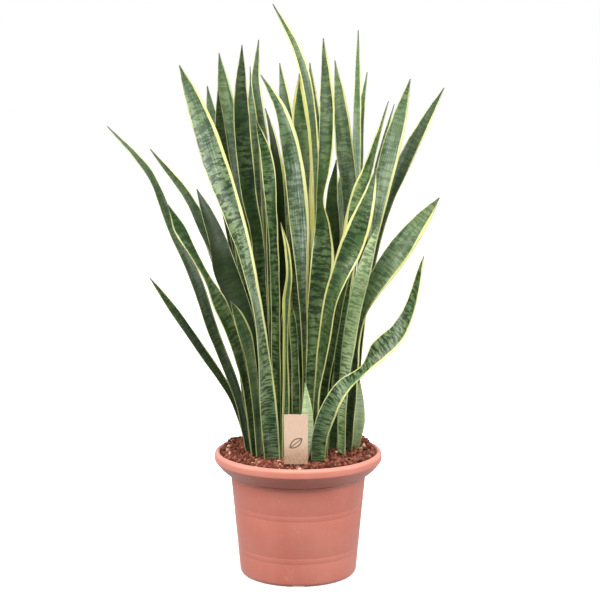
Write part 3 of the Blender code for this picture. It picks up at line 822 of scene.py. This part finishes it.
def kraft_board(centre):
    """Kraft board: pale tan paper with fibres and a dark brown printed sign of a leaf."""
    made, tree, shader = new_material("kraft_board", Roughness=0.85, IOR=1.45,
                                      Specular_IOR_Level=0.3)
    place = add(tree, "TexCoord", out="Object")
    lengthwise = add(tree, "Mapping", place, Scale=(1.0, 1.0, 0.25))
    fibre = add(tree, "TexNoise", lengthwise, Scale=700.0, Detail=4.0, Roughness=0.7)
    z = add(tree, "SeparateXYZ", place, out="Z")
    # the board is darker towards the bottom
    lighter_upwards = add(tree, "MapRange", z, centre[2] - 0.030, centre[2] + 0.010,
              interpolation_type="SMOOTHSTEP")
    colour = add(tree, "Mix", lighter_upwards, linear("#9A7860"), linear("#CCAE98"), data_type="RGBA")
    amount = add(tree, "MapRange", fibre, 0.40, 0.65, 0.0, 0.35)
    colour = add(tree, "Mix", amount, colour, linear("#E6CBB0"), data_type="RGBA")
    # the sign's own coordinates: millimetres about its centre, turned a little
    spot = add(tree, "Mapping", place, centre, (0, radians(-38), 0), (MM, MM, MM),
               vector_type="TEXTURE")
    along, _, up = add(tree, "SeparateXYZ", spot, out="all")
    flat = add(tree, "CombineXYZ", along, up, 0.0)
    reach = [add(tree, "VectorMath", flat, (0.0, shift, 0.0), operation="DISTANCE")
             for shift in (-ARC_SHIFT, ARC_SHIFT)]
    reach = add(tree, "Math", *reach, operation="MAXIMUM")
    inside = add(tree, "Math", reach, ARC_OUTER, operation="LESS_THAN")
    line = add(tree, "Math", reach, ARC_INNER, operation="GREATER_THAN")
    rib = add(tree, "Math", add(tree, "Math", up, operation="ABSOLUTE"), RIB_HALF,
              operation="LESS_THAN")
    ink = add(tree, "Math", add(tree, "Math", line, rib, operation="MAXIMUM"), inside,
              operation="MULTIPLY")
    facing = add(tree, "SeparateXYZ", add(tree, "NewGeometry", out="Normal"), out="Y")
    front = add(tree, "Math", facing, 0.0, operation="LESS_THAN")
    ink = add(tree, "Math", ink, add(tree, "Math", front, 0.8, operation="MULTIPLY"),
              operation="MULTIPLY")
    colour = add(tree, "Mix", ink, colour, linear("#4A3A30"), data_type="RGBA")
    tree.links.new(colour, shader.inputs["Base Color"])
    bump = add(tree, "Bump", Strength=0.3, Distance=0.0003, Height=fibre)
    tree.links.new(bump, shader.inputs["Normal"])
    return made


# %% Pale wood


def pale_wood():
    """Planed pale birch for the pin: fine straight grain along it."""
    made, tree, shader = new_material("pale_birch", Roughness=0.6, IOR=1.5)
    place = add(tree, "TexCoord", out="Object")
    lines = add(tree, "TexNoise", add(tree, "Mapping", place, Scale=(1.0, 1.0, 0.06)),
                Scale=1500.0, Detail=3.0)
    amount = add(tree, "MapRange", lines, 0.35, 0.7)
    colour = add(tree, "Mix", amount, linear("#E2BF9E"), linear("#F6DCC4"), data_type="RGBA")
    tree.links.new(colour, shader.inputs["Base Color"])
    return made


birch = pale_wood()
print("pin material:", birch.name)

# %% Label and pin
SIGN_HEIGHT = 33.5 * MM


def cube_between(low, high):
    """A bmesh cube that fills a box."""
    bm = bmesh.new()
    bmesh.ops.create_cube(bm, size=1.0)
    bmesh.ops.scale(bm, vec=high - low, verts=bm.verts)
    bmesh.ops.translate(bm, vec=(high + low) / 2, verts=bm.verts)
    return bm


def soften(bm, width):
    """Round all sharp edges of a box a little."""
    bmesh.ops.bevel(bm, geom=bm.edges[:], offset=width, offset_type="OFFSET", segments=2,
                    profile=0.5, affect="EDGES", material=-1)


low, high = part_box("label_board")
board = kraft_board((low.x * 0.5 + high.x * 0.5, low.y, low.z + SIGN_HEIGHT))
bm = cube_between(low, high)
upright = [e for e in bm.edges if abs(e.verts[0].co.z - e.verts[1].co.z) > 0.01]
bmesh.ops.subdivide_edges(bm, edges=upright, cuts=18, use_grid_fill=True)
level = [e for e in bm.edges if abs(e.verts[0].co.x - e.verts[1].co.x) > 0.01]
bmesh.ops.subdivide_edges(bm, edges=level, cuts=16, use_grid_fill=True)
for v in bm.verts:
    spot = Vector((v.co.x, 0, v.co.z)) * 190
    edge = min(v.co.x - low.x, high.x - v.co.x, high.z - v.co.z, v.co.z - low.z)
    if edge < 0.1 * MM:
        fray = 0.35 if v.co.z < high.z - MM else 0.7
        v.co.x += noise.noise(spot) * fray * MM
        v.co.z += noise.noise(spot + Vector((5, 5, 5))) * fray * MM
    v.co.y -= 0.5 * MM * (1 - ((v.co.x - low.x) / (high.x - low.x) * 2 - 1) ** 2)
finish_piece("kraft_label", bm, board, "label_board", sharp=40)

low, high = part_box("label_pin")
bm = cube_between(low, high)
soften(bm, 0.5 * MM)
finish_piece("birch_pin", bm, birch, "label_pin", sharp=40)
print("label and pin made of", board.name, "and", birch.name)

# %% [markdown]
# ## Floor, light and camera
#
# The plant stands on a plain pale floor under soft studio light. The camera sees plain
# white all round, while the light that reaches the plant is strongest from above, weaker
# from below and weakest at the horizon. Five softboxes add shape: a key and a fill in
# front, one on top and one on each side. The camera looks slightly down with a long lens.

# %% Floor
bm = bmesh.new()
bmesh.ops.create_grid(bm, x_segments=1, y_segments=1, size=8.0)
mesh = bpy.data.meshes.new("floor")
bm.to_mesh(mesh)
bm.free()
floor_paint, _, _ = new_material("white_paper_floor", Base_Color=linear("#F6F6F4"),
                                 Roughness=0.9, Emission_Color=linear("#FFFFFF"),
                                 Emission_Strength=0.42)
mesh.materials.append(floor_paint)
floor = bpy.data.objects.new("floor", mesh)
scene.collection.objects.link(floor)
# the floor glows a little and sends no light back, so that it stays an even pale sheet
floor.visible_diffuse = False
floor.visible_glossy = False
print("floor paint:", floor_paint.name)

# %% Light
scene.view_settings.view_transform = "Standard"
world = bpy.data.worlds.new("studio")
scene.world = world
world.use_nodes = True
sky = world.node_tree
sky.nodes.remove(sky.nodes["Background"])
height = add(sky, "SeparateXYZ", add(sky, "TexCoord", out="Generated"), out="Z")
above = add(sky, "MapRange", height, -0.05, 0.45, 0.0, 0.70, interpolation_type="SMOOTHSTEP")
below = add(sky, "MapRange", height, 0.05, -0.40, 0.12, 0.38, interpolation_type="SMOOTHSTEP")
glow = add(sky, "Math", above, below, operation="ADD")
paper = add(sky, "Background", linear("#FFFFFF"), 1.0)
soft = add(sky, "Background", linear("#FFFFFF"), glow)
seen = add(sky, "LightPath", out="Is Camera Ray")
both = add(sky, "MixShader", seen, soft, paper)
sky.links.new(both, sky.nodes["World Output"].inputs["Surface"])


def softbox(name, place, target, size, power):
    """A square area light that looks at a target."""
    lamp = bpy.data.lights.new(name, "AREA")
    lamp.shape = "SQUARE"
    lamp.size = size
    lamp.energy = power
    holder = bpy.data.objects.new(name, lamp)
    holder.location = place
    aim = Vector(target) - Vector(place)
    holder.rotation_euler = aim.to_track_quat("-Z", "Y").to_euler()
    scene.collection.objects.link(holder)


# name, place, target, size in metres and power in watts
SOFTBOXES = (
    ("key", (-1.1, -2.3, 3.0), (0, 0, 0.45), 1.3, 92),
    ("fill", (1.6, -2.2, 2.5), (0, 0, 0.45), 1.3, 56),
    ("top", (0.1, 0.1, 2.9), (0, 0, 0.4), 1.4, 40),
    ("left", (-2.6, -0.4, 1.3), (0, 0, 0.4), 1.3, 42),
    ("right", (2.6, -0.4, 1.3), (0, 0, 0.4), 1.3, 42))
for box in SOFTBOXES:
    softbox(*box)
print(len(SOFTBOXES), "softboxes")

# %% Camera
CAMERA_TILT = 81.077
lens = bpy.data.cameras.new("camera")
lens.sensor_width = 36.0
lens.lens = 106.57
lens.shift_x = 0.003
camera = bpy.data.objects.new("camera", lens)
camera.location = (0.0, -2.8, 0.8862)
camera.rotation_euler = (radians(CAMERA_TILT), 0, 0)
scene.collection.objects.link(camera)
scene.camera = camera
print("the camera looks", round(90 - CAMERA_TILT, 1), "degrees down")
